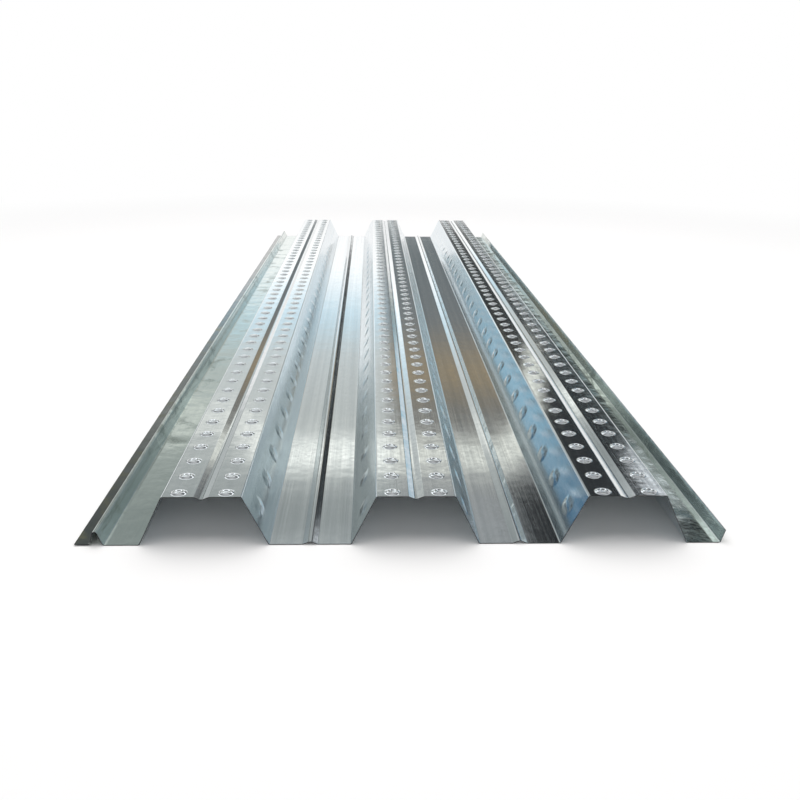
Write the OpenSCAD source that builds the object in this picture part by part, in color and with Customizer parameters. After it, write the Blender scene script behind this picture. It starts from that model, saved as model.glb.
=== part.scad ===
// Steel floor decking sheet: one galvanised strip rolled into a trapezoidal section and embossed.
// X runs across the sheet, Y along it, Z up. The origin is at the middle of the underside.

/* [Sheet] */
// Length of the sheet
sheet_length = 3000; // [600:50:12000]
// Thickness of the steel
gauge = 1; // [0.6:0.1:1.6]
// Height of the rolled section, from the underside of the troughs to the flat top of the crests
depth = 76; // [50:1:90]
// Distance from one crest to the next
pitch = 305; // [260:5:400]
// Number of crests across the sheet
crest_count = 3; // [1:1:5]
// Radius of the bends, at the middle of the steel
bend_radius = 3; // [1.5:0.5:4]

/* [Crests and webs] */
// Width of a crest between its two corners
crest_width = 113; // [95:1:130]
// Distance that a sloping web covers across the sheet
web_run = 36.5; // [20:0.5:45]

/* [Stiffeners] */
// Width of the groove along the middle of each crest
groove_width = 22; // [18:1:32]
// Depth of that groove
groove_depth = 4.5; // [2:0.5:6]
// Width of the rib along the middle of each trough
rib_width = 22; // [18:1:36]
// Height of that rib
rib_height = 4.5; // [2:0.5:6]
// Radius at the bottom of a groove and at the top of a rib
stiffener_radius = 8; // [3:0.5:10]

/* [Crest buttons] */
// Diameter of a button at its foot
button_foot = 26; // [18:1:34]
// Diameter of its flat top
button_top = 14; // [6:1:16]
// Height of a button above the crest
button_height = 2.5; // [1:0.25:3.5]
// Distance from one button to the next along the sheet
button_pitch = 59; // [40:1:150]
// Plain length between the sheet's end and the first button
button_end_gap = 1; // [0.5:0.5:60]

/* [Web bosses] */
// Length of a boss at its foot
boss_length = 48; // [38:1:70]
// Width of a boss at its foot
boss_width = 32; // [20:1:36]
// Width of its flat top
boss_top = 10; // [6:1:18]
// Height of a boss above the web
boss_height = 2; // [1:0.25:4]
// Distance from one boss to the next along the sheet
boss_pitch = 104; // [76:1:200]
// Plain length between the sheet's end and the first boss
boss_end_gap = 24; // [0.5:0.5:80]

/* [Side laps] */
// Width of the flat floor between the last web and the upturned lip
lip_floor = 50; // [42:1:56]
// Height of the upturned lip above the middle of the floor steel
lip_height = 20; // [14:1:26]
// Angle by which the lip leans outward
lip_lean = 16; // [5:1:25]
// Width of the flat top of the hollow rib that covers a neighbouring lip
hook_top = 5; // [4:0.5:8]
// Angle by which the inner side of that rib leans
hook_lean = 22; // [10:1:28]
// Width of the strip that lies on the floor of the neighbouring sheet
lap_strip = 22; // [12:1:32]
// Gap between two sheets where they overlap
lap_clearance = 0.4; // [0.2:0.1:1]

/* [Hidden] */
steel_colour = "lightsteelblue";
// Straight pieces that stand for the curve of one bend
bend_steps = 5;
// Facets of a round embossment in a preview
round_facets = 48;

// Heights of the middle of the steel in the troughs and on the crests
floor_z = gauge / 2;
crest_z = depth - gauge / 2;
// Width that one sheet covers when its neighbours lap over it
cover = pitch * crest_count;
// Distance from the middle of a crest to the foot of its web
web_foot = crest_width / 2 + web_run;
// Slope of a web, and distance from the middle of a crest to the middle of a web
web_slope = atan2(crest_z - floor_z, web_run);
web_middle = (crest_width + web_run) / 2;
// Distance from the middle of a crest to the middle of the flat on either side of its groove
crest_flat = (crest_width + groove_width) / 4;
// Position of the outermost crests, with the middle of the covered width at zero
last_crest = pitch * (crest_count - 1) / 2;

// The upturned lip at the right edge
lip_foot_x = last_crest + web_foot + lip_floor;
lip_top = [lip_foot_x + lip_height * tan(lip_lean), floor_z + lip_height];

// The hollow rib at the left edge hooks over the lip of the next sheet, which lies one cover to the left
lap_spacing = gauge + lap_clearance;
strip_z = floor_z + lap_spacing;
hook_z = lip_top.y + lap_clearance + gauge / 2;
// Position of the rib's outer side, parallel to that lip, at a given height
function hook_side_x(z) = lip_foot_x - cover + (z - floor_z) * tan(lip_lean) - lap_spacing / cos(lip_lean);
hook_inner_x = hook_side_x(hook_z) + hook_top;
hook_foot_x = hook_inner_x + (hook_z - floor_z) * tan(hook_lean);
strip_end_x = hook_side_x(strip_z) - lap_strip;

// The section's box runs from the end of the strip to the outer top of the lip
lip_end_x = lip_top.x + gauge / 2 * cos(lip_lean);
middle_x = (strip_end_x + lip_end_x) / 2;

// Corners of the bent strip from left to right, each as [x, z, radius]
function left_edge() = [
    [strip_end_x, strip_z, 0],
    [hook_side_x(strip_z), strip_z, bend_radius],
    [hook_side_x(hook_z), hook_z, min(bend_radius, hook_top / 2)],
    [hook_inner_x, hook_z, min(bend_radius, hook_top / 2)],
    [hook_foot_x, floor_z, bend_radius]
];

// One crest with its groove and its two webs
function crest(x) = [
    [x - web_foot, floor_z, bend_radius],
    [x - crest_width / 2, crest_z, bend_radius],
    [x - groove_width / 2, crest_z, bend_radius],
    [x, crest_z - groove_depth, stiffener_radius],
    [x + groove_width / 2, crest_z, bend_radius],
    [x + crest_width / 2, crest_z, bend_radius],
    [x + web_foot, floor_z, bend_radius]
];

// The rib along the middle of a trough
function trough_rib(x) = [
    [x - rib_width / 2, floor_z, bend_radius],
    [x, floor_z + rib_height, stiffener_radius],
    [x + rib_width / 2, floor_z, bend_radius]
];

function right_edge() = [
    [lip_foot_x, floor_z, bend_radius],
    [lip_top.x, lip_top.y, 0]
];

function crest_x(i) = i * pitch - last_crest;

function corners() = concat(
    left_edge(),
    [for (i = [0 : crest_count - 1], corner = concat(
        i > 0 ? trough_rib(crest_x(i) - pitch / 2) : [],
        crest(crest_x(i))
    )) corner],
    right_edge()
);

function unit(v) = v / norm(v);
function flat(corner) = [corner.x, corner.y];
// The direction to the left of a heading
function left_of(heading) = [-heading.y, heading.x];

// A bend at corner b between a and c, as [point, normal] pairs along its arc. The arc's centre lies on the
// side to which the strip turns, and each normal points to the left of the way along the strip.
function bend(a, b, c) =
    let (
        way_in = unit(flat(b) - flat(a)),
        way_out = unit(flat(c) - flat(b)),
        turn = atan2(way_in.x * way_out.y - way_in.y * way_out.x, way_in * way_out),
        side = sign(turn),
        start = flat(b) - way_in * b[2] * tan(abs(turn) / 2),
        centre = start + side * b[2] * left_of(way_in)
    )
    [for (step = [0 : bend_steps])
        let (
            angle = turn * step / bend_steps,
            normal = left_of(way_in) * cos(angle) - way_in * sin(angle)
        )
        [centre - side * b[2] * normal, normal]
    ];

// The middle of the steel from the strip's end to the lip's end, as [point, normal] pairs
function strip_path(c) = concat(
    [[flat(c[0]), left_of(unit(flat(c[1]) - flat(c[0])))]],
    [for (i = [1 : len(c) - 2], pair = bend(c[i - 1], c[i], c[i + 1])) pair],
    [[flat(c[len(c) - 1]), left_of(unit(flat(c[len(c) - 1]) - flat(c[len(c) - 2])))]]
);

// Outline of the rolled strip: its upper side from left to right and its underside back again
module section() {
    path = strip_path(corners());
    upper = [for (p = path) p[0] + p[1] * gauge / 2];
    under = [for (i = [len(path) - 1 : -1 : 0]) path[i][0] - path[i][1] * gauge / 2];
    polygon(concat(upper, under));
}

// A round mound on a face at z = 0. Its foot is sunk to the middle of the steel.
module button() {
    translate([0, 0, -gauge / 2])
        cylinder(h = gauge / 2 + button_height, d1 = button_foot, d2 = button_top, $fn = round_facets);
}

// An oval mound along Y, sunk as a button is: a straight ridge between two half rounds
module boss() {
    straight = boss_length - boss_width;
    foot = [boss_width / 2, -gauge / 2];
    top = [boss_top / 2, boss_height];
    rotate([90, 0, 0])
        linear_extrude(height = straight, center = true)
            polygon([foot, top, [-top.x, top.y], [-foot.x, foot.y]]);
    for (turn = [0, 180])
        rotate(turn)
            translate([0, straight / 2, 0])
                rotate_extrude(angle = 180, $fn = round_facets)
                    polygon([[0, foot.y], foot, top, [0, top.y]]);
}

// A row along the sheet of mounds of the given length
module row(length, spacing, end_gap) {
    last_y = sheet_length / 2 - end_gap - length / 2;
    for (y = [-last_y : spacing : last_y])
        translate([0, y, 0])
            children();
}

// Rows of buttons on the crests and of bosses on the webs, raised by the given amount from the upper face
module embossing(rise) {
    for (i = [0 : crest_count - 1], side = [-1, 1]) {
        translate([crest_x(i) + side * crest_flat, 0, depth + rise])
            row(button_foot, button_pitch, button_end_gap)
                button();
        translate([crest_x(i) + side * web_middle, 0, depth / 2])
            rotate([0, side * web_slope, 0])
                translate([0, 0, gauge / 2 + rise])
                    row(boss_length, boss_pitch, boss_end_gap)
                        boss();
    }
}

// The embossing raises the upper face and hollows the underside by the same form
module decking_sheet() {
    color(steel_colour)
        translate([-middle_x, 0, 0])
            difference() {
                union() {
                    rotate([90, 0, 0])
                        linear_extrude(height = sheet_length, center = true)
                            section();
                    embossing(0);
                }
                embossing(-gauge);
            }
}

decking_sheet();
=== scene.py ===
"""Looks of a steel floor decking sheet: one strip of steel, rolled, embossed and galvanised.

Lengths are in metres. X runs across the sheet, Y along it and Z up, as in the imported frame.
"""
from collections import namedtuple
from math import cos, pi, radians, sin, tan

import bpy
import numpy as np
from mathutils import Matrix, Vector


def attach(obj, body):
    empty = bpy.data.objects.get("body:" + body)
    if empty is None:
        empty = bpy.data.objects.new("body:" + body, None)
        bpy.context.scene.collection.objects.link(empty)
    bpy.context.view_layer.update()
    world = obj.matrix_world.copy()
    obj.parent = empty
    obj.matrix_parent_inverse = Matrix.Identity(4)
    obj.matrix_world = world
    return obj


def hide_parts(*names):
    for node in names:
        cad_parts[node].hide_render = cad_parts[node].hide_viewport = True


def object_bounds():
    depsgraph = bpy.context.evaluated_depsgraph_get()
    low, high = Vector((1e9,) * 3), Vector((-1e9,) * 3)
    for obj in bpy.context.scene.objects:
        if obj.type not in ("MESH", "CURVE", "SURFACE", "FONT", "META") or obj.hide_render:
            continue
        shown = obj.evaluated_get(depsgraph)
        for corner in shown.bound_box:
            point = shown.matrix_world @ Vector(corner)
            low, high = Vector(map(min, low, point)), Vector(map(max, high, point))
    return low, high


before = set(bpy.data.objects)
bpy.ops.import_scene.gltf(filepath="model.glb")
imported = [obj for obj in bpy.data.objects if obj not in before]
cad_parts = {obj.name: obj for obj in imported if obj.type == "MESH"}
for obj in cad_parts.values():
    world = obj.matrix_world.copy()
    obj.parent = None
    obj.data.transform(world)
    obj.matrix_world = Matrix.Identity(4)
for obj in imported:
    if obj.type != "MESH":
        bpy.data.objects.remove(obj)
cad_low, cad_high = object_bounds()

# Sizes of the rolled section, at the middle of the steel where two sides meet in a corner
SHEET_LENGTH = cad_high.y - cad_low.y
GAUGE = 0.001
DEPTH = 0.076
PITCH = 0.305
CREST_COUNT = 3
BEND_RADIUS = 0.003
CREST_WIDTH = 0.113
WEB_RUN = 0.0365
GROOVE_WIDTH = 0.022
GROOVE_DEPTH = 0.0045
RIB_WIDTH = 0.022
RIB_HEIGHT = 0.0045
STIFFENER_RADIUS = 0.008
LIP_FLOOR = 0.050
LIP_HEIGHT = 0.020
LIP_LEAN = radians(16)
HOOK_TOP = 0.005
HOOK_LEAN = radians(22)
LAP_STRIP = 0.022
LAP_CLEARANCE = 0.0004

# Round buttons on the crests, each a raised ring round a shallow dish
BUTTON_FOOT = 0.026
BUTTON_RIDGE = 0.014
BUTTON_HEIGHT = 0.0025
BUTTON_DISH = 0.0015
BUTTON_PITCH = 0.059
BUTTON_END_GAP = 0.001

# Oval bosses on the webs, rounded on top
BOSS_LENGTH = 0.048
BOSS_WIDTH = 0.032
BOSS_HEIGHT = 0.0009
BOSS_PITCH = 0.104
BOSS_END_GAP = 0.024

# How finely the surfaces are divided
BEND_STEPS = 6
PLAIN_STATIONS = 26
CELL_MARGIN = 0.0005

# Camera: its place, where it points and its lens
CAMERA_PLACE = (-0.0479, -2.6672, 0.6164)
CAMERA_YAW = radians(2.008)
CAMERA_PITCH = radians(18.709)
CAMERA_ROLL = radians(0.655)
CAMERA_LENS = 40.43
SENSOR_WIDTH = 36

# Masks that the mesh carries for its material, each from 0 to 1
MASKS = ("web", "crest", "lap", "ridge", "dirt_and_shade")
# Numbers of the sheet's two materials
SURFACE = 0
CUT_EDGE = 1

# Dirt and painted shade round a mound: the share of its height where they lie, their spread and their
# strength
DIRT_AND_SHADE_LEVEL = 0.12
DIRT_AND_SHADE_SPREAD = 0.16
DIRT_AND_SHADE_STRENGTH = 0.6
# Wear with a painted highlight, and dirt with painted shade, at the middle of a mound's top
TOP_WEAR_AND_HIGHLIGHT = 0.2
TOP_DIRT_AND_SHADE = 0.2

# Colours of the zinc, the film and dirt on it, the painted reflection, highlight and shade, and the cut steel
DULL_ZINC = (0.70, 0.73, 0.74)
BRIGHT_ZINC = (0.84, 0.86, 0.86)
CREST_ZINC = (0.90, 0.92, 0.92)
# Lighter zinc on the mounds' ridges: wear and a painted highlight
RUBBED_AND_HIGHLIGHT_ZINC = (0.88, 0.89, 0.90)
FLAKE_GREY = (0.42, 0.45, 0.47)
# Blue on the webs: a painted sky reflection
WEB_SKY_REFLECTION = (0.60, 0.82, 0.95)
LAP_FILM = (0.50, 0.58, 0.52)
LAP_STAIN = (0.20, 0.24, 0.19)
# Grime colours round the mounds and on the lap strip: dirt and painted shade
GREY_GRIME_AND_SHADE = (0.06, 0.06, 0.06)
BROWN_GRIME_AND_SHADE = (0.18, 0.165, 0.075)
# Near-black cut steel: painted shade along the cut edges
DARK_CUT_AND_SHADE = (0.01, 0.011, 0.012)
PALE_CUT = (0.05, 0.052, 0.055)
RUST = (0.10, 0.05, 0.025)

# Least and greatest roughness of the zinc over its rolling lines, and the height of its waves
ZINC_ROUGHNESS = (0.04, 0.10)
WAVE_HEIGHT = 0.0002

# One line along the sheet, and one kind of mound with how finely its two faces are divided
Line = namedtuple("Line", "point normal masks mound")
# wear scales the wear with painted highlight on the ridge, and the dirt with painted shade at the foot
Mound = namedtuple(
    "Mound", "length width pitch end_gap form upper_radii under_radii upper_steps under_steps wear"
)


def strip_corners():
    """Corners of the bent strip from the left lap to the lip, as points (x, z), bend radii and the finish of
    the side that follows each corner. The hollow rib at the left runs parallel to the lip of a sheet that
    lies one cover width away, so that it hooks over that lip with a small clearance."""
    floor_z = GAUGE / 2
    crest_z = DEPTH - GAUGE / 2
    web_foot = CREST_WIDTH / 2 + WEB_RUN
    last_crest = PITCH * (CREST_COUNT - 1) / 2
    lip_foot_x = last_crest + web_foot + LIP_FLOOR
    lip_top_x = lip_foot_x + LIP_HEIGHT * tan(LIP_LEAN)
    lip_top_z = floor_z + LIP_HEIGHT
    lap_spacing = GAUGE + LAP_CLEARANCE
    strip_z = floor_z + lap_spacing
    hook_z = lip_top_z + LAP_CLEARANCE + GAUGE / 2
    hook_radius = min(BEND_RADIUS, HOOK_TOP / 2)

    def hook_side_x(z):
        lip_x = lip_foot_x - PITCH * CREST_COUNT + (z - floor_z) * tan(LIP_LEAN)
        return lip_x - lap_spacing / cos(LIP_LEAN)

    hook_inner_x = hook_side_x(hook_z) + HOOK_TOP
    hook_foot_x = hook_inner_x + (hook_z - floor_z) * tan(HOOK_LEAN)
    strip_end_x = hook_side_x(strip_z) - LAP_STRIP
    lip_end_x = lip_top_x + GAUGE / 2 * cos(LIP_LEAN)
    middle_x = (strip_end_x + lip_end_x) / 2

    corners = [
        (strip_end_x, strip_z, 0, "strip"),
        (hook_side_x(strip_z), strip_z, BEND_RADIUS, "lap"),
        (hook_side_x(hook_z), hook_z, hook_radius, "lap"),
        (hook_inner_x, hook_z, hook_radius, "lap"),
        (hook_foot_x, floor_z, BEND_RADIUS, "lap"),
    ]
    for i in range(CREST_COUNT):
        x = i * PITCH - last_crest
        rib_x = x - PITCH / 2
        if i > 0:
            corners += [
                (rib_x - RIB_WIDTH / 2, floor_z, BEND_RADIUS, "floor"),
                (rib_x, floor_z + RIB_HEIGHT, STIFFENER_RADIUS, "floor"),
                (rib_x + RIB_WIDTH / 2, floor_z, BEND_RADIUS, "floor"),
            ]
        after_web = "floor" if i < CREST_COUNT - 1 else "lap"
        corners += [
            (x - web_foot, floor_z, BEND_RADIUS, "web"),
            (x - CREST_WIDTH / 2, crest_z, BEND_RADIUS, "crest"),
            (x - GROOVE_WIDTH / 2, crest_z, BEND_RADIUS, "groove"),
            (x, crest_z - GROOVE_DEPTH, STIFFENER_RADIUS, "groove"),
            (x + GROOVE_WIDTH / 2, crest_z, BEND_RADIUS, "crest"),
            (x + CREST_WIDTH / 2, crest_z, BEND_RADIUS, "web"),
            (x + web_foot, floor_z, BEND_RADIUS, after_web),
        ]
    corners += [(lip_foot_x, floor_z, BEND_RADIUS, "lap"), (lip_top_x, lip_top_z, 0, "lap")]
    points = np.array([(x - middle_x, z) for x, z, _, _ in corners])
    radii = np.array([radius for _, _, radius, _ in corners])
    return points, radii, [finish for _, _, _, finish in corners]


def left_of(heading):
    """The direction a quarter turn to the left of a heading in the section's plane."""
    return np.stack([-heading[..., 1], heading[..., 0]], axis=-1)


def rounded_corners(points, radii):
    """Every corner rounded to an arc that touches both its sides. Along an arc the normal turns evenly from
    the one side's to the other's, and the arc's points lie one radius from its centre along that normal.
    Returns points and normals, each corner by BEND_STEPS + 1 by 2."""
    way = np.diff(points, axis=0)
    way /= np.linalg.norm(way, axis=1, keepdims=True)
    way_in = np.vstack([way[:1], way])
    way_out = np.vstack([way, way[-1:]])
    cross = way_in[:, 0] * way_out[:, 1] - way_in[:, 1] * way_out[:, 0]
    turn = np.arctan2(cross, np.sum(way_in * way_out, axis=1))
    start = points - way_in * (radii * np.tan(np.abs(turn) / 2))[:, None]
    reach = (np.sign(turn) * radii)[:, None]
    centre = start + reach * left_of(way_in)
    angle = (turn[:, None] * np.linspace(0, 1, BEND_STEPS + 1))[..., None]
    normal = left_of(way_in)[:, None] * np.cos(angle) - way_in[:, None] * np.sin(angle)
    return centre[:, None] - reach[:, None] * normal, normal


def button_form(radius):
    """Height and slope of a button at a distance from its middle: a half wave of a cosine from the dish up to
    the ring's ridge, and another from the ridge down to the foot."""
    foot, ridge = BUTTON_FOOT / 2, BUTTON_RIDGE / 2
    inside = radius < ridge
    span = np.where(inside, ridge, foot - ridge)
    drop = np.where(inside, BUTTON_DISH, BUTTON_HEIGHT)
    phase = np.abs(radius - ridge) / span * pi
    height = BUTTON_HEIGHT - drop * (1 - np.cos(phase)) / 2
    slope = np.sign(ridge - radius) * drop * pi / span * np.sin(phase) / 2
    return height, slope


def boss_form(radius):
    """Height and slope of a boss at a distance from its spine: half a wave of a cosine down to the foot."""
    foot = BOSS_WIDTH / 2
    phase = radius / foot * pi
    height = BOSS_HEIGHT * (1 + np.cos(phase)) / 2
    slope = -BOSS_HEIGHT * pi / foot * np.sin(phase) / 2
    return height, slope


BUTTON = Mound(
    length=BUTTON_FOOT, width=BUTTON_FOOT, pitch=BUTTON_PITCH, end_gap=BUTTON_END_GAP, form=button_form,
    upper_radii=BUTTON_FOOT / 2 * np.array([1, 0.78, 0.6, 0.46, 0.28]),
    under_radii=BUTTON_FOOT / 2 * np.array([1, 0.54]),
    upper_steps=16, under_steps=8, wear=1.0,
)
BOSS = Mound(
    length=BOSS_LENGTH, width=BOSS_WIDTH, pitch=BOSS_PITCH, end_gap=BOSS_END_GAP, form=boss_form,
    upper_radii=BOSS_WIDTH / 2 * np.array([1, 0.8, 0.6, 0.4, 0.2]),
    under_radii=BOSS_WIDTH / 2 * np.array([1, 0.5]),
    upper_steps=20, under_steps=8, wear=0.15,
)
EMBOSSED = {"crest": BUTTON, "web": BOSS}


def finish_masks(finish):
    """The masks of a plain stretch of the given finish. The strip that lies under a neighbour is a lap too,
    and carries the mask for dirt and painted shade, which paints it near black, brownish where the stains
    lie."""
    names = ("lap", "dirt_and_shade") if finish == "strip" else (finish,)
    return np.array([float(name in names) for name in MASKS])


def section_lines():
    """The lines that run along the sheet, from left to right: those of every bend, and two on each embossed
    side that frame its row of mounds."""
    points, radii, finishes = strip_corners()
    arcs, normals = rounded_corners(points, radii)
    lines = []
    for i, finish in enumerate(finishes):
        before = finish_masks(finishes[max(i - 1, 0)])
        after = finish_masks(finish)
        steps = range(BEND_STEPS + 1) if 0 < i < len(finishes) - 1 else [0]
        for step in steps:
            share = step / BEND_STEPS
            masks = before * (1 - share) + after * share
            lines.append(Line(arcs[i, step], normals[i, step], masks, None))
        mound = EMBOSSED.get(finish)
        if mound:
            middle = (points[i] + points[i + 1]) / 2
            heading = points[i + 1] - points[i]
            heading /= np.linalg.norm(heading)
            half_width = mound.width / 2 + CELL_MARGIN
            for side in (-1, 1):
                place = middle + side * half_width * heading
                lines.append(Line(place, left_of(heading), after, mound))
    return lines


def mound_places(mound):
    """Where the mounds of one row lie along the sheet."""
    last = SHEET_LENGTH / 2 - mound.end_gap - mound.length / 2
    return np.arange(-last, last + GAUGE, mound.pitch)


def stations(line):
    """Where a line has points along the sheet: evenly, or at both ends of every mound's cell."""
    half = SHEET_LENGTH / 2
    if line.mound is None:
        return np.linspace(-half, half, PLAIN_STATIONS)
    half_cell = line.mound.length / 2 + CELL_MARGIN
    cells = mound_places(line.mound)[:, None] + np.array([-half_cell, half_cell])
    return np.concatenate([[-half], cells.ravel(), [half]])


def mound_grid(mound, upper):
    """One mound on a polar grid: rings from the foot inwards, by directions round it, and a last point in the
    middle. A round mound has one centre, and an oval one has a centre for either end of its spine. The ridge
    mask, for wear and a painted highlight, grows evenly over the upper half of the height, and the mask for
    dirt and painted shade follows a bell curve low on the flank. Returns places (across, along, up), normals,
    the ridge and dirt-and-shade masks, the directions and the number of rings."""
    radii = mound.upper_radii if upper else mound.under_radii
    steps = mound.upper_steps if upper else mound.under_steps
    spine = mound.length - mound.width
    if spine > 0:
        half_turn = np.linspace(0, pi, steps // 2 + 1)
        angle = np.concatenate([half_turn, half_turn + pi])
        centre = np.repeat([spine / 2, -spine / 2], len(half_turn))
    else:
        angle = np.arange(steps) * 2 * pi / steps
        centre = np.zeros(steps)
    height, slope = (value[:, None] for value in mound.form(radii))
    outward = np.stack([np.cos(angle), np.sin(angle)], axis=-1)
    places = np.empty((len(radii), len(angle), 3))
    places[..., :2] = radii[:, None, None] * outward
    places[..., 1] += centre
    places[..., 2] = height
    normals = np.empty_like(places)
    normals[..., :2] = -slope[..., None] * outward
    normals[..., 2] = 1
    normals /= np.linalg.norm(normals, axis=-1, keepdims=True)
    top = mound.form(np.zeros(1))[0][0]
    full = height.max()
    # Wear and a painted highlight over the upper half of the height
    ridge = np.repeat(np.clip(height / full * 2 - 1, 0, 1), len(angle), axis=1)
    # Dirt and painted shade in a bell curve low on the flank
    dirt_and_shade = np.repeat(np.exp(-((height / full - DIRT_AND_SHADE_LEVEL) / DIRT_AND_SHADE_SPREAD) ** 2), len(angle), axis=1)
    dirt_and_shade[0] = 0
    return (
        np.vstack([places.reshape(-1, 3), [[0, 0, top]]]),
        np.vstack([normals.reshape(-1, 3), [[0, 0, 1]]]),
        np.append(ridge.ravel(), TOP_WEAR_AND_HIGHLIGHT) * mound.wear,
        np.append(dirt_and_shade.ravel(), TOP_DIRT_AND_SHADE * (top < full)) * mound.wear * DIRT_AND_SHADE_STRENGTH,
        angle,
        len(radii),
    )


def mound_triangles(angle, rings):
    """Triangles of one mound and its cell. Points are numbered ring by ring, then the middle, then the cell's
    corners: right far, left far, left near, right near. Each quarter of the foot is a fan from its corner."""
    count = len(angle)
    around = np.arange(count)
    following = np.roll(around, -1)
    outer = (np.arange(rings - 1) * count)[:, None]
    near = np.stack([outer + around, outer + following, outer + count + following], axis=-1)
    far = np.stack([outer + around, outer + count + following, outer + count + around], axis=-1)
    last = (rings - 1) * count
    middle = rings * count
    cap = np.stack([last + around, last + following, np.full(count, middle)], axis=-1)
    step_end = np.append(angle[1:], 2 * pi)
    quarter = np.minimum((angle + step_end) // pi, 3).astype(int)
    fans = np.stack([middle + 1 + quarter, following, around], axis=-1)
    corner = np.arange(4)
    crossing = np.searchsorted(quarter, (corner + 1) % 4)
    sides = np.stack([middle + 1 + corner, middle + 1 + (corner + 1) % 4, crossing], axis=-1)
    return np.vstack([near.reshape(-1, 3), far.reshape(-1, 3), cap, fans, sides])


def stitch(a, b, a_y, b_y):
    """Triangles between two lines that start and end together. Walking along both, each step on a line makes
    a triangle with the point that the other line has reached."""
    reached_b = np.searchsorted(b_y[1:], a_y[1:], side="left")
    reached_a = np.searchsorted(a_y[1:], b_y[1:], side="right")
    steps_on_a = np.stack([a[:-1], b[reached_b], a[1:]], axis=1)
    steps_on_b = np.stack([b[:-1], b[1:], a[reached_a]], axis=1)
    return np.vstack([steps_on_a, steps_on_b])


def quads(a, b):
    """Triangles between two lines with the same number of points."""
    one = np.stack([a[:-1], b[:-1], b[1:]], axis=1)
    other = np.stack([a[:-1], b[1:], a[1:]], axis=1)
    return np.vstack([one, other])


class Skin:
    """Points, normals, masks and triangles of the sheet's closed surface, as they are added."""

    def __init__(self):
        self.places, self.normals, self.masks = [], [], []
        self.triangles, self.flat_normals, self.materials = [], [], []
        self.count = 0

    def add_points(self, places, normals, masks):
        """Adds points and returns their numbers."""
        self.places.append(places)
        self.normals.append(normals)
        self.masks.append(np.broadcast_to(masks, (len(places), len(MASKS))))
        self.count += len(places)
        return np.arange(self.count - len(places), self.count)

    def add_triangles(self, triangles, flat_normal=(0, 0, 0), material=SURFACE):
        """Adds triangles. A flat normal of zero stands for the normals of their points."""
        self.triangles.append(triangles)
        self.flat_normals.append(np.broadcast_to(np.asarray(flat_normal, float), (len(triangles), 3)))
        self.materials.append(np.full(len(triangles), material, np.int32))

    def mesh(self, name):
        """The Blender mesh, with the normals of every corner set."""
        places = np.vstack(self.places)
        triangles = np.vstack(self.triangles)
        mesh = bpy.data.meshes.new(name)
        mesh.from_pydata(places, [], triangles)
        mesh.polygons.foreach_set("material_index", np.concatenate(self.materials))
        mesh.shade_smooth()
        corner_normals = np.vstack(self.normals)[triangles]
        flat = np.vstack(self.flat_normals)
        is_flat = np.any(flat != 0, axis=1)
        corner_normals[is_flat] = flat[is_flat][:, None]
        mesh.normals_split_custom_set(corner_normals.reshape(-1, 3))
        for mask_name, values in zip(MASKS, np.vstack(self.masks).T):
            layer = mesh.attributes.new(mask_name, "FLOAT", "POINT")
            layer.data.foreach_set("value", np.ascontiguousarray(values, np.float32))
        return mesh


def lay_line(skin, line, side):
    """Adds one line along the sheet, half a gauge to the upper (1) or lower (-1) side of the middle."""
    along = stations(line)
    x, z = line.point + line.normal * side * GAUGE / 2
    places = np.stack([np.full_like(along, x), along, np.full_like(along, z)], axis=1)
    normal = side * np.array([line.normal[0], 0, line.normal[1]])
    return skin.add_points(places, np.tile(normal, (len(along), 1)), line.masks)


def lay_mounds(skin, left, right, left_points, right_points, side):
    """Triangles between the two lines that frame a row of mounds: plain strips between the cells, and one
    mound in each cell. Every mound is the same grid, set along the sheet and raised along the upper face's
    normal on both faces, so that the steel keeps its thickness."""
    mound = left.mound
    places, normals, ridge, dirt_and_shade, angle, rings = mound_grid(mound, side > 0)
    across = (right.point - left.point) / np.linalg.norm(right.point - left.point)
    frame_axes = np.array([[across[0], 0, across[1]], [0, 1, 0], [left.normal[0], 0, left.normal[1]]])
    x, z = (left.point + right.point) / 2 + left.normal * side * GAUGE / 2
    rows = mound_places(mound)
    origins = np.stack([np.full_like(rows, x), rows, np.full_like(rows, z)], axis=1)
    all_places = origins[:, None] + places @ frame_axes
    all_normals = np.tile(side * normals @ frame_axes, (len(rows), 1))
    masks = np.tile(left.masks, (len(places), 1))
    # The ridge mask paints a highlight with the wear, and the other mask paints shade with the dirt
    masks[:, MASKS.index("ridge")] = ridge
    masks[:, MASKS.index("dirt_and_shade")] = dirt_and_shade
    numbers = skin.add_points(all_places.reshape(-1, 3), all_normals, np.tile(masks, (len(rows), 1)))
    near, far = slice(1, -1, 2), slice(2, -1, 2)
    corners = np.stack([right_points[far], left_points[far], left_points[near], right_points[near]], axis=1)
    table = np.hstack([numbers.reshape(len(rows), -1), corners])
    cells = table[:, mound_triangles(angle, rings)].reshape(-1, 3)
    gaps = quads(left_points, right_points).reshape(2, -1, 3)[:, ::2].reshape(-1, 3)
    return np.vstack([cells, gaps])


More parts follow.
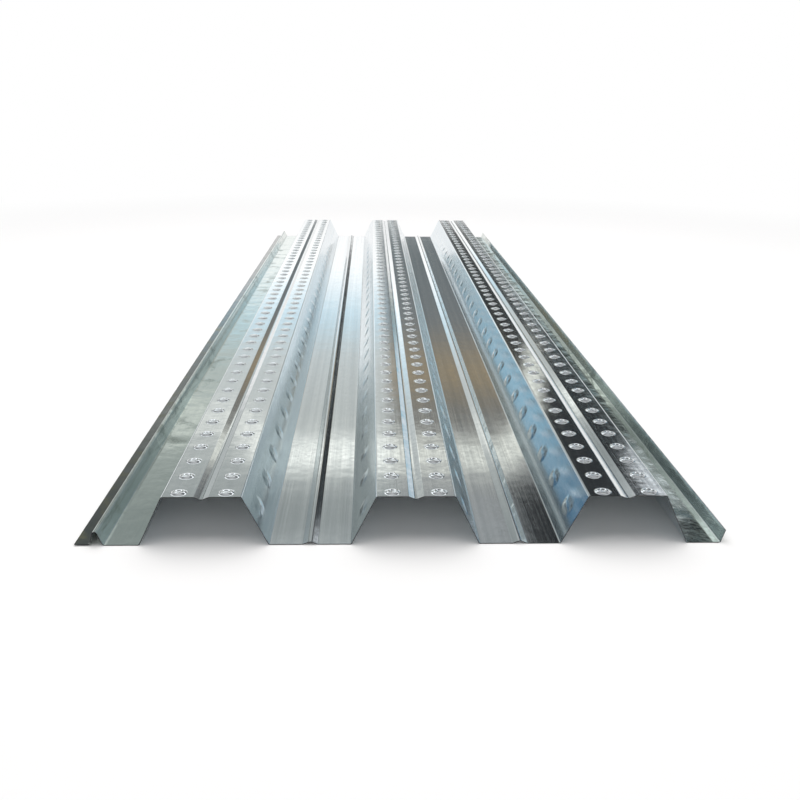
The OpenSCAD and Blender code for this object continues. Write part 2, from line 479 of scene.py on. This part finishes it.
def sheet_mesh():
    """The whole sheet: the upper and lower skins, joined along both long edges and over both cut ends."""
    lines = section_lines()
    skin = Skin()
    points = {}
    for side in (1, -1):
        points[side] = [lay_line(skin, line, side) for line in lines]
        for k in range(len(lines) - 1):
            left, right = lines[k], lines[k + 1]
            left_points, right_points = points[side][k], points[side][k + 1]
            if left.mound and right.mound:
                triangles = lay_mounds(skin, left, right, left_points, right_points, side)
            else:
                triangles = stitch(left_points, right_points, stations(left), stations(right))
            skin.add_triangles(triangles if side > 0 else triangles[:, ::-1])
    upper, under = points[1], points[-1]
    for end, normal in ((0, (0, -1, 0)), (-1, (0, 1, 0))):
        cap = quads(np.array([p[end] for p in under]), np.array([p[end] for p in upper]))
        skin.add_triangles(cap[:, ::-1] if end == 0 else cap, normal, CUT_EDGE)
    for k, outward in ((0, -1), (-1, 1)):
        heading = outward * np.array([lines[k].normal[1], 0, -lines[k].normal[0]])
        edge = quads(upper[k], under[k])
        skin.add_triangles(edge if k else edge[:, ::-1], heading, CUT_EDGE)
    return skin.mesh("rolled_sheet")


def node(tree, kind, inputs=None, **settings):
    """Adds a node, sets its settings, and gives each named or numbered input a value or a link."""
    made = tree.nodes.new(kind)
    for name, value in settings.items():
        setattr(made, name, value)
    for name, value in (inputs or {}).items():
        if isinstance(value, bpy.types.NodeSocket):
            tree.links.new(value, made.inputs[name])
        else:
            made.inputs[name].default_value = value
    return made


def maths(tree, operation, a, b=0.0, third=0.0):
    """The result of a maths node."""
    return node(tree, "ShaderNodeMath", {0: a, 1: b, 2: third}, operation=operation).outputs[0]


def product(tree, a, b):
    """Two values multiplied."""
    return maths(tree, "MULTIPLY", a, b)


def mapped(tree, value, low, high, to_low=0.0, to_high=1.0):
    """A value eased from one range to another and held at its ends."""
    inputs = {"Value": value, "From Min": low, "From Max": high, "To Min": to_low, "To Max": to_high}
    return node(tree, "ShaderNodeMapRange", inputs, interpolation_type="SMOOTHSTEP").outputs[0]


def between(tree, value, low, high, soft):
    """One where a value lies between two limits and zero elsewhere, eased over a soft edge at each limit."""
    rising = mapped(tree, value, low - soft, low + soft)
    return product(tree, rising, mapped(tree, value, high - soft, high + soft, 1.0, 0.0))


def blended(tree, share, a, b):
    """A colour between a and b, of which b has the given share."""
    made = node(tree, "ShaderNodeMix", {"Factor": share}, data_type="RGBA")
    for socket, value in zip((made.inputs[6], made.inputs[7]), (a, b)):
        if isinstance(value, bpy.types.NodeSocket):
            tree.links.new(value, socket)
        else:
            socket.default_value = (*value, 1)
    return made.outputs[2]


def ramp(tree, value, stops):
    """A colour ramp through (position, colour) stops."""
    made = node(tree, "ShaderNodeValToRGB", {"Fac": value})
    elements = made.color_ramp.elements
    while len(elements) < len(stops):
        elements.new(1)
    for element, (position, colour) in zip(elements, stops):
        element.position = position
        element.color = (*colour, 1)
    return made.outputs["Color"]


def mask(tree, name):
    """A mask that the mesh carries."""
    return node(tree, "ShaderNodeAttribute", attribute_name=name).outputs["Fac"]


def new_group(name, inputs, output):
    """An empty shader group with a Vector input, number inputs and one number output."""
    group = bpy.data.node_groups.new(name, "ShaderNodeTree")
    group.interface.new_socket("Vector", in_out="INPUT", socket_type="NodeSocketVector")
    for socket_name in inputs:
        group.interface.new_socket(socket_name, in_out="INPUT", socket_type="NodeSocketFloat")
    group.interface.new_socket(output, in_out="OUTPUT", socket_type="NodeSocketFloat")
    start = group.nodes.new("NodeGroupInput")
    end = group.nodes.new("NodeGroupOutput")
    return group, start.outputs, end.inputs[0]


def rolling_lines_group():
    """Fine lines along the sheet: noise that is stretched along Y."""
    group, given, result = new_group("rolling_lines", ["Across", "Along"], "Lines")
    stretch = node(group, "ShaderNodeCombineXYZ", {0: given["Across"], 1: given["Along"], 2: given["Across"]})
    stretched = {0: given["Vector"], 1: stretch.outputs[0]}
    place = node(group, "ShaderNodeVectorMath", stretched, operation="MULTIPLY")
    lines = node(group, "ShaderNodeTexNoise", {"Vector": place.outputs[0], "Scale": 1.0, "Detail": 4.0})
    group.links.new(lines.outputs[0], result)
    return group


def stain_group():
    """Soft-edged patches that cover a share of the surface."""
    group, given, result = new_group("stain_patches", ["Scale", "Cover", "Softness"], "Patches")
    cloud = node(group, "ShaderNodeTexNoise", {
        "Vector": given["Vector"],
        "Scale": given["Scale"],
        "Detail": 5.0,
        "Roughness": 0.6,
        "Distortion": 0.6,
    })
    low = maths(group, "SUBTRACT", 1.0, given["Cover"])
    high = maths(group, "ADD", low, given["Softness"])
    group.links.new(mapped(group, cloud.outputs[0], low, high), result)
    return group


def spangle_group():
    """Crystal flakes of the zinc coat, each with its own shade."""
    group, given, result = new_group("zinc_spangle", ["Scale"], "Flake")
    flakes = node(group, "ShaderNodeTexVoronoi", {"Vector": given["Vector"], "Scale": given["Scale"]})
    shade = node(group, "ShaderNodeSeparateColor", {"Color": flakes.outputs["Color"]})
    group.links.new(shade.outputs[0], result)
    return group


def use_group(tree, group, **inputs):
    """Places a group in a material and returns its output."""
    return node(tree, "ShaderNodeGroup", inputs, node_tree=group).outputs[0]


def new_material(name):
    """An empty material with a Principled shader, and the object's own coordinates."""
    material = bpy.data.materials.new(name)
    material.use_nodes = True
    tree = material.node_tree
    shader = tree.nodes["Principled BSDF"]
    place = node(tree, "ShaderNodeTexCoord").outputs["Object"]
    return material, tree, shader, place


def zinc_colour(tree, place, groups, masks, flake, stains):
    """The zinc's colour: broad rolling lines, with one coat after another laid over them. Each coat is where
    it lies, how strong it is there and its colour."""
    broad = use_group(tree, groups["lines"], Vector=place, Across=90.0, Along=0.7)
    grime_and_shade = blended(tree, stains, GREY_GRIME_AND_SHADE, BROWN_GRIME_AND_SHADE)
    coats = [
        (masks["crest"], 0.4, CREST_ZINC),
        (flake, 0.14, FLAKE_GREY),
        # The webs' painted sky reflection
        (masks["web"], 0.26, WEB_SKY_REFLECTION),
        (masks["lap"], 0.6, LAP_FILM),
        (product(tree, masks["lap"], stains), 0.6, LAP_STAIN),
        # Dirt and painted shade round the mounds and on the lap strip
        (masks["dirt_and_shade"], 0.85, grime_and_shade),
        # Wear and a painted highlight on the ridges
        (masks["ridge"], 0.6, RUBBED_AND_HIGHLIGHT_ZINC),
    ]
    colour = ramp(tree, broad, [(0.3, DULL_ZINC), (0.7, BRIGHT_ZINC)])
    for where, strength, tint in coats:
        colour = blended(tree, product(tree, where, strength), colour, tint)
    return colour


def zinc_waves(tree, place, masks, fine):
    """Height of the steel's waves: long waves all over, which are calmer on the webs and stronger on the side
    laps, ripples on the crests and laps that keep step with the buttons, and a trace of the rolling lines."""
    waves = node(tree, "ShaderNodeTexNoise", {"Vector": place, "Scale": 14.0, "Detail": 2.0}).outputs[0]
    calm = mapped(tree, masks["web"], 0.0, 1.0, 1.0, 0.4)
    wave_share = maths(tree, "MULTIPLY_ADD", masks["lap"], 1.4, third=calm)
    ripples = node(tree, "ShaderNodeTexNoise", {"Vector": place, "Scale": 70.0, "Detail": 1.0}).outputs[0]
    ripple_share = maths(tree, "MULTIPLY_ADD", masks["lap"], 0.5, third=product(tree, masks["crest"], 0.3))
    along = node(tree, "ShaderNodeSeparateXYZ", {0: place}).outputs[1]
    turn_per_metre = 2 * pi / BUTTON_PITCH
    first_turn = mound_places(BUTTON)[0] * turn_per_metre
    turns = maths(tree, "MULTIPLY_ADD", along, turn_per_metre, third=-first_turn)
    ripples = maths(tree, "MULTIPLY_ADD", maths(tree, "COSINE", turns), 0.25, third=ripples)
    height = maths(tree, "ADD", product(tree, waves, wave_share), product(tree, ripples, ripple_share))
    return maths(tree, "MULTIPLY_ADD", fine, 0.01, third=height)


def galvanised_zinc(groups):
    """Bright zinc with rolling lines and spangle. The webs are tinted blue as a painted sky reflection and
    are a little duller, the side laps have a grey-green film with stains and are wavier, the ridges are
    lightened for wear and a painted highlight, and dirt with painted shade lies round the mounds and darkens
    the lap strip."""
    material, tree, shader, place = new_material("galvanised_zinc")
    masks = {name: mask(tree, name) for name in MASKS}
    fine = use_group(tree, groups["lines"], Vector=place, Across=700.0, Along=2.0)
    flake = use_group(tree, groups["spangle"], Vector=place, Scale=140.0)
    stains = use_group(tree, groups["stains"], Vector=place, Scale=16.0, Cover=0.5, Softness=0.22)

    rough = mapped(tree, fine, 0.25, 0.75, *ZINC_ROUGHNESS)
    stained_laps = product(tree, masks["lap"], stains)
    for where, added in ((masks["web"], 0.04), (flake, 0.03), (stained_laps, 0.18)):
        rough = maths(tree, "MULTIPLY_ADD", where, added, third=rough)
    height = zinc_waves(tree, place, masks, fine)
    bump = node(tree, "ShaderNodeBump", {"Height": height, "Strength": 1.0, "Distance": WAVE_HEIGHT})

    colour = zinc_colour(tree, place, groups, masks, flake, stains)
    tree.links.new(colour, shader.inputs["Base Color"])
    tree.links.new(rough, shader.inputs["Roughness"])
    tree.links.new(bump.outputs[0], shader.inputs["Normal"])
    shader.inputs["Metallic"].default_value = 1.0
    return material


def sheared_edge(groups):
    """The cut ends of the steel: painted near black as shade along the cut edges, with tear lines and specks
    of rust.
    """
    material, tree, shader, place = new_material("sheared_edge")
    tears = use_group(tree, groups["lines"], Vector=place, Across=900.0, Along=900.0)
    rust = use_group(tree, groups["stains"], Vector=place, Scale=60.0, Cover=0.4, Softness=0.1)
    colour = ramp(tree, tears, [(0.35, DARK_CUT_AND_SHADE), (0.7, PALE_CUT)])
    colour = blended(tree, product(tree, rust, 0.5), colour, RUST)
    tree.links.new(colour, shader.inputs["Base Color"])
    tree.links.new(mapped(tree, tears, 0.3, 0.7, 0.4, 0.65), shader.inputs["Roughness"])
    shader.inputs["Metallic"].default_value = 0.6
    return material


def add_sheet():
    """The sheet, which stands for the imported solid."""
    groups = {"lines": rolling_lines_group(), "stains": stain_group(), "spangle": spangle_group()}
    sheet = bpy.data.objects.new("rolled_sheet", sheet_mesh())
    bpy.context.scene.collection.objects.link(sheet)
    sheet.data.materials.append(galvanised_zinc(groups))
    sheet.data.materials.append(sheared_edge(groups))
    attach(sheet, "root")
    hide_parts("decking_sheet")


# Floor, lamp and room. The floor fades into white between two distances from its middle.
FLOOR_DROP = 0.0004
FLOOR_SIZE = 60
FLOOR_FADE = (1.8, 3.6)
FLOOR_COLOUR = (0.9, 0.9, 0.9)
BLACK = (0.0, 0.0, 0.0)
WHITE = (1.0, 1.0, 1.0)
LAMP_HEIGHT = 4.5
LAMP_SIZE = 7
LAMP_POWER = 262
LAMP_COLOUR = (1.0, 0.97, 0.95)
GREY_WALL = (0.33, 0.36, 0.35)
LOW_WALL = (0.50, 0.53, 0.53)
DARK_WALL = (0.03, 0.033, 0.036)
RIGHT_WALL = (0.30, 0.33, 0.31)
BAND_LEFT = (0.90, 0.92, 0.88)
BAND_MIDDLE = (1.25, 1.28, 1.22)
BAND_RIGHT = (0.95, 0.97, 0.90)
PALE_PATCH = (1.0, 1.05, 1.1)
STRIP_LIGHT = (1.5, 1.55, 1.6)
SKY_EDGE = (0.92, 1.0, 1.0)
SKY_BLUE = (0.24, 0.56, 0.74)
SKY_DEEP = (0.03, 0.13, 0.24)
SKY_PALE = (0.84, 0.88, 0.92)
# Lowest height that a place across the room is divided by
LEAST_HEIGHT = 0.05


def add_floor():
    """A plain white floor just under the sheet. It turns into an even white with distance, so that floor and
    background are one."""
    half = FLOOR_SIZE / 2
    mesh = bpy.data.meshes.new("studio_floor")
    corners = [(x * half, y * half, -FLOOR_DROP) for x, y in ((-1, -1), (1, -1), (1, 1), (-1, 1))]
    mesh.from_pydata(corners, [], [(0, 1, 2, 3)])
    floor = bpy.data.objects.new("studio_floor", mesh)
    bpy.context.scene.collection.objects.link(floor)
    material, tree, shader, place = new_material("white_floor")
    distance = node(tree, "ShaderNodeVectorMath", {0: place}, operation="LENGTH").outputs["Value"]
    fade = mapped(tree, distance, *FLOOR_FADE)
    colour = ramp(tree, fade, [(0.0, FLOOR_COLOUR), (1.0, BLACK)])
    tree.links.new(colour, shader.inputs["Base Color"])
    tree.links.new(fade, shader.inputs["Emission Strength"])
    shader.inputs["Emission Color"].default_value = (*WHITE, 1)
    shader.inputs["Roughness"].default_value = 1.0
    shader.inputs["Specular IOR Level"].default_value = 0.0
    mesh.materials.append(material)


def end_wall(tree, across, z):
    """The wall beyond the far end, by height: pale in its left half, and dim in its right half, with a brown
    field low down. Returns its colour and where it is the right half."""
    left = ramp(tree, z, [
        (0.10, WHITE),
        (0.18, (1.25, 1.25, 1.25)),
        (0.23, (0.66, 0.88, 1.0)),
        (0.27, (0.66, 0.70, 0.70)),
        (0.34, (0.56, 0.59, 0.58)),
        (0.44, (0.30, 0.33, 0.33)),
        (0.54, (0.75, 0.78, 0.79)),
        (0.66, (0.62, 0.65, 0.66)),
        (0.88, (0.20, 0.21, 0.22)),
    ])
    right = ramp(tree, z, [
        (0.10, (0.15, 0.18, 0.19)),
        (0.24, (0.20, 0.22, 0.23)),
        (0.29, (0.36, 0.29, 0.19)),
        (0.33, (0.19, 0.19, 0.18)),
        (0.44, (0.36, 0.38, 0.39)),
        (0.55, (0.28, 0.30, 0.31)),
        (0.8, (0.06, 0.065, 0.07)),
    ])
    is_right = mapped(tree, across, 0.03, 0.11)
    return blended(tree, is_right, left, right), is_right


def dark_walls(tree, across, z):
    """Where the far end is dark: a wall at either side, and a screen above the right half."""
    left_wall = product(tree, between(tree, across, -1.05, -0.80, 0.03), between(tree, z, 0.23, 0.38, 0.03))
    right_wall = mapped(tree, across, 0.50, 0.57)
    screen = product(tree, mapped(tree, across, 0.33, 0.40), between(tree, z, 0.40, 0.50, 0.01))
    return maths(tree, "MAXIMUM", maths(tree, "MAXIMUM", left_wall, right_wall), screen)


def pale_band(tree, across, z, is_right):
    """Where a pale band crosses the end wall, and its colour. The band sinks towards both sides."""
    left_drop = mapped(tree, across, -0.48, -0.25, 0.042, 0.0)
    right_drop = mapped(tree, across, 0.35, 0.80, 0.0, 0.135)
    level = maths(tree, "ADD", z, maths(tree, "ADD", left_drop, right_drop))
    where = product(tree, between(tree, level, 0.362, 0.392, 0.012), between(tree, across, -0.68, 0.68, 0.02))
    colour = blended(tree, mapped(tree, across, -0.38, -0.30), BAND_LEFT, BAND_MIDDLE)
    return where, blended(tree, is_right, colour, BAND_RIGHT)


def sky_opening(tree, across, z):
    """Where the room is open at the right, and the colour of the sky there: nearly white at the near side,
    then blue that deepens with height, and pale again farther out."""
    near_edge = mapped(tree, z, 0.20, 0.26, 0.78, 0.86)
    is_past_edge = mapped(tree, maths(tree, "SUBTRACT", across, near_edge), 0.0, 0.04)
    sill = product(tree, between(tree, across, 0.93, 1.5, 0.08), 0.04)
    is_above_sill = mapped(tree, maths(tree, "SUBTRACT", z, sill), 0.11, 0.13)
    where = product(tree, is_past_edge, mapped(tree, across, 1.6, 1.9, 1.0, 0.0))
    where = product(tree, product(tree, where, is_above_sill), mapped(tree, z, 0.40, 0.44, 1.0, 0.0))
    blue = blended(tree, mapped(tree, z, 0.26, 0.31), SKY_BLUE, SKY_DEEP)
    blue_edge = maths(tree, "ADD", across, mapped(tree, z, 0.32, 0.38, 0.0, 0.16))
    sky = blended(tree, mapped(tree, blue_edge, 0.84, 1.05), SKY_EDGE, blue)
    pale_edge = maths(tree, "SUBTRACT", across, mapped(tree, z, 0.27, 0.30, 0.0, 0.10))
    return where, blended(tree, mapped(tree, pale_edge, 1.18, 1.215), sky, SKY_PALE)


def far_end(tree, x, across, z):
    """Colour of the room beyond the sheet's far end: the end wall, with one field after another laid over it.
    Each field is where it lies and its colour."""
    colour, is_right = end_wall(tree, across, z)
    far_left = product(tree, mapped(tree, across, -1.10, -1.0, 1.0, 0.0), mapped(tree, z, 0.165, 0.20))
    low_left = product(tree, mapped(tree, x, -0.34, -0.28, 1.0, 0.0), mapped(tree, z, 0.22, 0.26, 1.0, 0.0))
    patch = product(tree, between(tree, across, 0.75, 0.80, 0.012), between(tree, z, 0.36, 0.42, 0.01))
    fields = [
        (far_left, GREY_WALL),
        (dark_walls(tree, across, z), DARK_WALL),
        (low_left, LOW_WALL),
        pale_band(tree, across, z, is_right),
        (mapped(tree, across, 0.80, 0.84), RIGHT_WALL),
        (patch, PALE_PATCH),
        (between(tree, z, 0.55, 0.66, 0.02), STRIP_LIGHT),
        sky_opening(tree, across, z),
    ]
    for where, tint in fields:
        colour = blended(tree, where, colour, tint)
    return colour


def add_world():
    """A soft room, described by the direction in which it is seen. z is the sine of the height above the
    horizon, and across is the way to the side over z, which is one value for all that a lengthwise line on a
    level face mirrors. The room is white near the horizon and grey higher up. Beyond the sheet's far end, at
    high Y, are the walls, the pale band, the strip light and the sky opening that the steel mirrors."""
    world = bpy.data.worlds.new("soft_room")
    bpy.context.scene.world = world
    world.use_nodes = True
    tree = world.node_tree
    direction = node(tree, "ShaderNodeTexCoord").outputs["Generated"]
    x, y, z = node(tree, "ShaderNodeSeparateXYZ", {0: direction}).outputs
    across = maths(tree, "DIVIDE", x, maths(tree, "MAXIMUM", z, LEAST_HEIGHT))
    studio = ramp(tree, z, [
        (0.16, WHITE),
        (0.30, (0.60, 0.61, 0.62)),
        (0.42, (0.36, 0.37, 0.38)),
        (0.55, (0.64, 0.65, 0.66)),
        (0.76, (0.20, 0.21, 0.22)),
        (0.94, (0.52, 0.53, 0.54)),
        (1.0, (0.58, 0.59, 0.60)),
    ])
    # Level part of the direction, taken from a little over 1 so that it isn't zero straight up
    level = maths(tree, "SQRT", maths(tree, "SUBTRACT", 1.0001, product(tree, z, z)))
    ahead = maths(tree, "DIVIDE", y, level)
    is_far_end = product(tree, mapped(tree, ahead, 0.82, 0.90), mapped(tree, z, 0.85, 0.93, 1.0, 0.0))
    colour = blended(tree, is_far_end, studio, far_end(tree, x, across, z))
    horizon = mapped(tree, z, 0.125, 0.135, 1.0, 0.0)
    colour = blended(tree, horizon, colour, WHITE)
    tree.links.new(colour, tree.nodes["Background"].inputs["Color"])


def add_lamp():
    """A wide soft lamp overhead that lights the floor and isn't mirrored in the steel."""
    light = bpy.data.lights.new("overhead_lamp", "AREA")
    light.size = LAMP_SIZE
    light.energy = LAMP_POWER
    light.color = LAMP_COLOUR
    lamp = bpy.data.objects.new("overhead_lamp", light)
    lamp.location = (0, 0, LAMP_HEIGHT)
    lamp.visible_glossy = False
    bpy.context.scene.collection.objects.link(lamp)


def add_camera():
    """The camera, turned by its yaw, pitch and roll from looking along Y."""
    ahead = Vector((sin(CAMERA_YAW), cos(CAMERA_YAW), 0))
    right = Vector((cos(CAMERA_YAW), -sin(CAMERA_YAW), 0))
    forward = cos(CAMERA_PITCH) * ahead - sin(CAMERA_PITCH) * Vector((0, 0, 1))
    up = cos(CAMERA_PITCH) * Vector((0, 0, 1)) + sin(CAMERA_PITCH) * ahead
    rolled_right = cos(CAMERA_ROLL) * right + sin(CAMERA_ROLL) * up
    rolled_up = cos(CAMERA_ROLL) * up - sin(CAMERA_ROLL) * right
    data = bpy.data.cameras.new("camera")
    data.lens = CAMERA_LENS
    data.sensor_width = SENSOR_WIDTH
    camera = bpy.data.objects.new("camera", data)
    turn = Matrix((rolled_right, rolled_up, -forward)).transposed()
    camera.matrix_world = Matrix.Translation(CAMERA_PLACE) @ turn.to_4x4()
    bpy.context.scene.collection.objects.link(camera)
    bpy.context.scene.camera = camera


add_sheet()
add_floor()
add_world()
add_lamp()
add_camera()
bpy.context.scene.view_settings.view_transform = "Standard"
